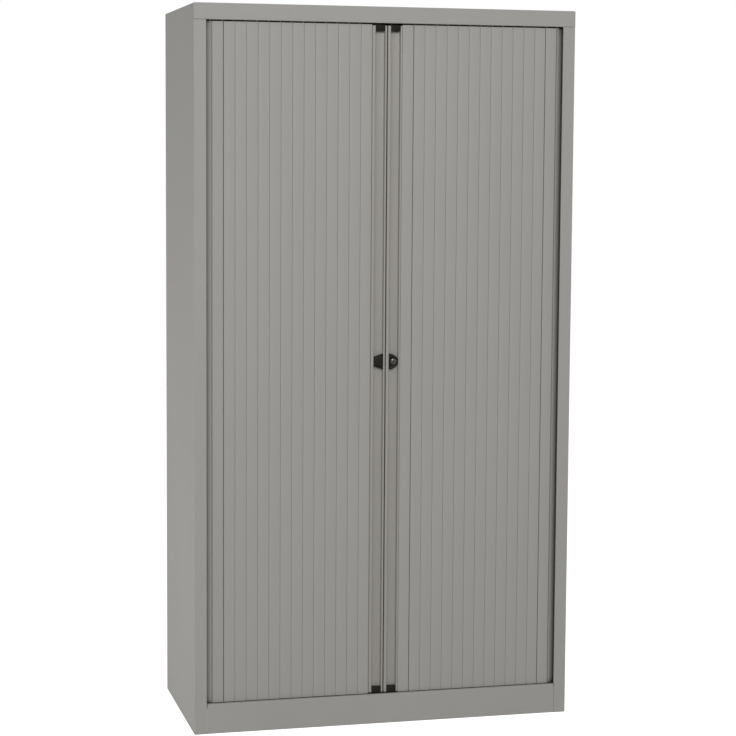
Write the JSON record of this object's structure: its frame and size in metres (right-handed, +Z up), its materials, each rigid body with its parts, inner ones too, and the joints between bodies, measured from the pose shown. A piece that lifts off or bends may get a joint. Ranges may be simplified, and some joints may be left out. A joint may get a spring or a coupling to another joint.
{
  "type": "tambour door cabinet",
  "caption": "Tall free-standing steel cabinet with two side-opening tambour shutters of hinged slats, finger-channel lead rails, a lock, slotted liners, shelves and levelling feet.",
  "frame": {"origin": "on the floor under the middle of the cabinet", "axes": "+Z up, +X to the right seen from the front, the shutters face -Y"},
  "size_m": [1, 0.47, 1.855],
  "materials": {
    "carcase_steel": "warm grey fine-texture powder coat",
    "slat_plastic": "warm grey matte extruded plastic",
    "rail_aluminium": "warm grey painted extrusion",
    "track_plastic": "dark grey low-friction plastic",
    "black_plastic": "black moulded plastic, satin",
    "lock_chrome": "satin chrome lock face",
    "zinc_steel": "zinc plated steel"
  },
  "bodies": {
    "cabinet": {"top_panel": "carcase_steel", "base": "carcase_steel", "back_panel": "carcase_steel", "side_panel_left": "carcase_steel", "side_panel_right": "carcase_steel", "liner_left": "carcase_steel", "liner_right": "carcase_steel", "top_track_left": "track_plastic", "top_track_right": "track_plastic", "floor_track_left": "track_plastic", "floor_track_right": "track_plastic", "shelf_1": "carcase_steel", "shelf_2": "carcase_steel", "shelf_3": "carcase_steel", "shelf_4": "carcase_steel"},
    "left_rail": {"lead_rail_left": "rail_aluminium", "top_cap_left": "black_plastic", "floor_cap_left": "black_plastic", "keeper_housing": "black_plastic"},
    "right_rail": {"lead_rail_right": "rail_aluminium", "top_cap_right": "black_plastic", "floor_cap_right": "black_plastic", "lock_housing": "black_plastic"},
    "lock": {"lock_barrel": "lock_chrome", "hook_bolt": "zinc_steel"},
    "slat_left_01_body": {"slat_left_01": "slat_plastic"},
    "slat_left_02_body": {"slat_left_02": "slat_plastic"},
    "slat_left_03_body": {"slat_left_03": "slat_plastic"},
    "slat_left_04_body": {"slat_left_04": "slat_plastic"},
    "slat_left_05_body": {"slat_left_05": "slat_plastic"},
    "slat_left_06_body": {"slat_left_06": "slat_plastic"},
    "slat_left_07_body": {"slat_left_07": "slat_plastic"},
    "slat_left_08_body": {"slat_left_08": "slat_plastic"},
    "slat_left_09_body": {"slat_left_09": "slat_plastic"},
    "slat_left_10_body": {"slat_left_10": "slat_plastic"},
    "slat_left_11_body": {"slat_left_11": "slat_plastic"},
    "slat_left_12_body": {"slat_left_12": "slat_plastic"},
    "slat_left_13_body": {"slat_left_13": "slat_plastic"},
    "slat_left_14_body": {"slat_left_14": "slat_plastic"},
    "slat_left_15_body": {"slat_left_15": "slat_plastic"},
    "slat_right_01_body": {"slat_right_01": "slat_plastic"},
    "slat_right_02_body": {"slat_right_02": "slat_plastic"},
    "slat_right_03_body": {"slat_right_03": "slat_plastic"},
    "slat_right_04_body": {"slat_right_04": "slat_plastic"},
    "slat_right_05_body": {"slat_right_05": "slat_plastic"},
    "slat_right_06_body": {"slat_right_06": "slat_plastic"},
    "slat_right_07_body": {"slat_right_07": "slat_plastic"},
    "slat_right_08_body": {"slat_right_08": "slat_plastic"},
    "slat_right_09_body": {"slat_right_09": "slat_plastic"},
    "slat_right_10_body": {"slat_right_10": "slat_plastic"},
    "slat_right_11_body": {"slat_right_11": "slat_plastic"},
    "slat_right_12_body": {"slat_right_12": "slat_plastic"},
    "slat_right_13_body": {"slat_right_13": "slat_plastic"},
    "slat_right_14_body": {"slat_right_14": "slat_plastic"},
    "slat_right_15_body": {"slat_right_15": "slat_plastic"},
    "front_left_foot": {"foot_front_left": "zinc_steel"},
    "front_right_foot": {"foot_front_right": "zinc_steel"},
    "rear_left_foot": {"foot_rear_left": "zinc_steel"},
    "rear_right_foot": {"foot_rear_right": "zinc_steel"}
  },
  "joints": [
    {"name": "left_shutter_slide", "type": "slide", "parent": "cabinet", "child": "left_rail", "axis": [-1, 0, 0], "range_m": [0, 0.413]},
    {"name": "right_shutter_slide", "type": "slide", "parent": "cabinet", "child": "right_rail", "axis": [1, 0, 0], "range_m": [0, 0.413]},
    {"name": "lock_turn", "type": "hinge", "parent": "right_rail", "child": "lock", "pos_m": [0.0217, -0.2109, 0.95], "axis": [0, 1, 0], "range_deg": [0, 90]},
    {"name": "slat_left_01_slide", "type": "slide", "parent": "cabinet", "child": "slat_left_01_body", "axis": [-1, 0, 0], "range_m": [0, 0.4135], "deforming": ["slat_left_01"]},
    {"name": "slat_left_02_slide", "type": "slide", "parent": "cabinet", "child": "slat_left_02_body", "axis": [-1, 0, 0], "range_m": [0, 0.384], "deforming": ["slat_left_02"]},
    {"name": "slat_left_03_slide", "type": "slide", "parent": "cabinet", "child": "slat_left_03_body", "axis": [-1, 0, 0], "range_m": [0, 0.3545], "deforming": ["slat_left_03"]},
    {"name": "slat_left_04_slide", "type": "slide", "parent": "cabinet", "child": "slat_left_04_body", "axis": [-1, 0, 0], "range_m": [0, 0.325], "deforming": ["slat_left_04"]},
    {"name": "slat_left_05_slide", "type": "slide", "parent": "cabinet", "child": "slat_left_05_body", "axis": [-1, 0, 0], "range_m": [0, 0.2955], "deforming": ["slat_left_05"]},
    {"name": "slat_left_06_slide", "type": "slide", "parent": "cabinet", "child": "slat_left_06_body", "axis": [-1, 0, 0], "range_m": [0, 0.266], "deforming": ["slat_left_06"]},
    {"name": "slat_left_07_slide", "type": "slide", "parent": "cabinet", "child": "slat_left_07_body", "axis": [-1, 0, 0], "range_m": [0, 0.2365], "deforming": ["slat_left_07"]},
    {"name": "slat_left_08_slide", "type": "slide", "parent": "cabinet", "child": "slat_left_08_body", "axis": [-1, 0, 0], "range_m": [0, 0.207], "deforming": ["slat_left_08"]},
    {"name": "slat_left_09_slide", "type": "slide", "parent": "cabinet", "child": "slat_left_09_body", "axis": [-1, 0, 0], "range_m": [0, 0.1775], "deforming": ["slat_left_09"]},
    {"name": "slat_left_10_slide", "type": "slide", "parent": "cabinet", "child": "slat_left_10_body", "axis": [-1, 0, 0], "range_m": [0, 0.148], "deforming": ["slat_left_10"]},
    {"name": "slat_left_11_slide", "type": "slide", "parent": "cabinet", "child": "slat_left_11_body", "axis": [-1, 0, 0], "range_m": [0, 0.1185], "deforming": ["slat_left_11"]},
    {"name": "slat_left_12_slide", "type": "slide", "parent": "cabinet", "child": "slat_left_12_body", "axis": [-1, 0, 0], "range_m": [0, 0.089], "deforming": ["slat_left_12"]},
    {"name": "slat_left_13_slide", "type": "slide", "parent": "cabinet", "child": "slat_left_13_body", "axis": [-1, 0, 0], "range_m": [0, 0.0595], "deforming": ["slat_left_13"]},
    {"name": "slat_left_14_slide", "type": "slide", "parent": "cabinet", "child": "slat_left_14_body", "axis": [-1, 0, 0], "range_m": [0, 0.03], "deforming": ["slat_left_14"]},
    {"name": "slat_left_15_turn", "type": "hinge", "parent": "cabinet", "child": "slat_left_15_body", "pos_m": [-0.4551, -0.1953, 0.947], "axis": [0, 0, -1], "range_deg": [0, 45]},
    {"name": "slat_right_01_slide", "type": "slide", "parent": "cabinet", "child": "slat_right_01_body", "axis": [1, 0, 0], "range_m": [0, 0.4135], "deforming": ["slat_right_01"]},
    {"name": "slat_right_02_slide", "type": "slide", "parent": "cabinet", "child": "slat_right_02_body", "axis": [1, 0, 0], "range_m": [0, 0.384], "deforming": ["slat_right_02"]},
    {"name": "slat_right_03_slide", "type": "slide", "parent": "cabinet", "child": "slat_right_03_body", "axis": [1, 0, 0], "range_m": [0, 0.3545], "deforming": ["slat_right_03"]},
    {"name": "slat_right_04_slide", "type": "slide", "parent": "cabinet", "child": "slat_right_04_body", "axis": [1, 0, 0], "range_m": [0, 0.325], "deforming": ["slat_right_04"]},
    {"name": "slat_right_05_slide", "type": "slide", "parent": "cabinet", "child": "slat_right_05_body", "axis": [1, 0, 0], "range_m": [0, 0.2955], "deforming": ["slat_right_05"]},
    {"name": "slat_right_06_slide", "type": "slide", "parent": "cabinet", "child": "slat_right_06_body", "axis": [1, 0, 0], "range_m": [0, 0.266], "deforming": ["slat_right_06"]},
    {"name": "slat_right_07_slide", "type": "slide", "parent": "cabinet", "child": "slat_right_07_body", "axis": [1, 0, 0], "range_m": [0, 0.2365], "deforming": ["slat_right_07"]},
    {"name": "slat_right_08_slide", "type": "slide", "parent": "cabinet", "child": "slat_right_08_body", "axis": [1, 0, 0], "range_m": [0, 0.207], "deforming": ["slat_right_08"]},
    {"name": "slat_right_09_slide", "type": "slide", "parent": "cabinet", "child": "slat_right_09_body", "axis": [1, 0, 0], "range_m": [0, 0.1775], "deforming": ["slat_right_09"]},
    {"name": "slat_right_10_slide", "type": "slide", "parent": "cabinet", "child": "slat_right_10_body", "axis": [1, 0, 0], "range_m": [0, 0.148], "deforming": ["slat_right_10"]},
    {"name": "slat_right_11_slide", "type": "slide", "parent": "cabinet", "child": "slat_right_11_body", "axis": [1, 0, 0], "range_m": [0, 0.1185], "deforming": ["slat_right_11"]},
    {"name": "slat_right_12_slide", "type": "slide", "parent": "cabinet", "child": "slat_right_12_body", "axis": [1, 0, 0], "range_m": [0, 0.089], "deforming": ["slat_right_12"]},
    {"name": "slat_right_13_slide", "type": "slide", "parent": "cabinet", "child": "slat_right_13_body", "axis": [1, 0, 0], "range_m": [0, 0.0595], "deforming": ["slat_right_13"]},
    {"name": "slat_right_14_slide", "type": "slide", "parent": "cabinet", "child": "slat_right_14_body", "axis": [1, 0, 0], "range_m": [0, 0.03], "deforming": ["slat_right_14"]},
    {"name": "slat_right_15_turn", "type": "hinge", "parent": "cabinet", "child": "slat_right_15_body", "pos_m": [0.4551, -0.1953, 0.947], "axis": [0, 0, 1], "range_deg": [0, 45]},
    {"name": "front_left_foot_screw", "type": "slide", "parent": "cabinet", "child": "front_left_foot", "axis": [0, 0, -1], "range_m": [0, 0.015]},
    {"name": "front_right_foot_screw", "type": "slide", "parent": "cabinet", "child": "front_right_foot", "axis": [0, 0, -1], "range_m": [0, 0.015]},
    {"name": "rear_left_foot_screw", "type": "slide", "parent": "cabinet", "child": "rear_left_foot", "axis": [0, 0, -1], "range_m": [0, 0.015]},
    {"name": "rear_right_foot_screw", "type": "slide", "parent": "cabinet", "child": "rear_right_foot", "axis": [0, 0, -1], "range_m": [0, 0.015]}
  ],
  "couplings": [
    {"joint": "slat_left_01_slide", "follows": "left_shutter_slide", "ratio": 1},
    {"joint": "slat_left_02_slide", "follows": "left_shutter_slide", "ratio": 0.92857},
    {"joint": "slat_left_03_slide", "follows": "left_shutter_slide", "ratio": 0.85714},
    {"joint": "slat_left_04_slide", "follows": "left_shutter_slide", "ratio": 0.78571},
    {"joint": "slat_left_05_slide", "follows": "left_shutter_slide", "ratio": 0.71429},
    {"joint": "slat_left_06_slide", "follows": "left_shutter_slide", "ratio": 0.64286},
    {"joint": "slat_left_07_slide", "follows": "left_shutter_slide", "ratio": 0.57143},
    {"joint": "slat_left_08_slide", "follows": "left_shutter_slide", "ratio": 0.5},
    {"joint": "slat_left_09_slide", "follows": "left_shutter_slide", "ratio": 0.42857},
    {"joint": "slat_left_10_slide", "follows": "left_shutter_slide", "ratio": 0.35714},
    {"joint": "slat_left_11_slide", "follows": "left_shutter_slide", "ratio": 0.28571},
    {"joint": "slat_left_12_slide", "follows": "left_shutter_slide", "ratio": 0.21429},
    {"joint": "slat_left_13_slide", "follows": "left_shutter_slide", "ratio": 0.14286},
    {"joint": "slat_left_14_slide", "follows": "left_shutter_slide", "ratio": 0.071429},
    {"joint": "slat_left_15_turn", "follows": "left_shutter_slide", "rad_per_m": 0.84096},
    {"joint": "slat_right_01_slide", "follows": "right_shutter_slide", "ratio": 1},
    {"joint": "slat_right_02_slide", "follows": "right_shutter_slide", "ratio": 0.92857},
    {"joint": "slat_right_03_slide", "follows": "right_shutter_slide", "ratio": 0.85714},
    {"joint": "slat_right_04_slide", "follows": "right_shutter_slide", "ratio": 0.78571},
    {"joint": "slat_right_05_slide", "follows": "right_shutter_slide", "ratio": 0.71429},
    {"joint": "slat_right_06_slide", "follows": "right_shutter_slide", "ratio": 0.64286},
    {"joint": "slat_right_07_slide", "follows": "right_shutter_slide", "ratio": 0.57143},
    {"joint": "slat_right_08_slide", "follows": "right_shutter_slide", "ratio": 0.5},
    {"joint": "slat_right_09_slide", "follows": "right_shutter_slide", "ratio": 0.42857},
    {"joint": "slat_right_10_slide", "follows": "right_shutter_slide", "ratio": 0.35714},
    {"joint": "slat_right_11_slide", "follows": "right_shutter_slide", "ratio": 0.28571},
    {"joint": "slat_right_12_slide", "follows": "right_shutter_slide", "ratio": 0.21429},
    {"joint": "slat_right_13_slide", "follows": "right_shutter_slide", "ratio": 0.14286},
    {"joint": "slat_right_14_slide", "follows": "right_shutter_slide", "ratio": 0.071429},
    {"joint": "slat_right_15_turn", "follows": "right_shutter_slide", "rad_per_m": 0.84096}
  ]
}
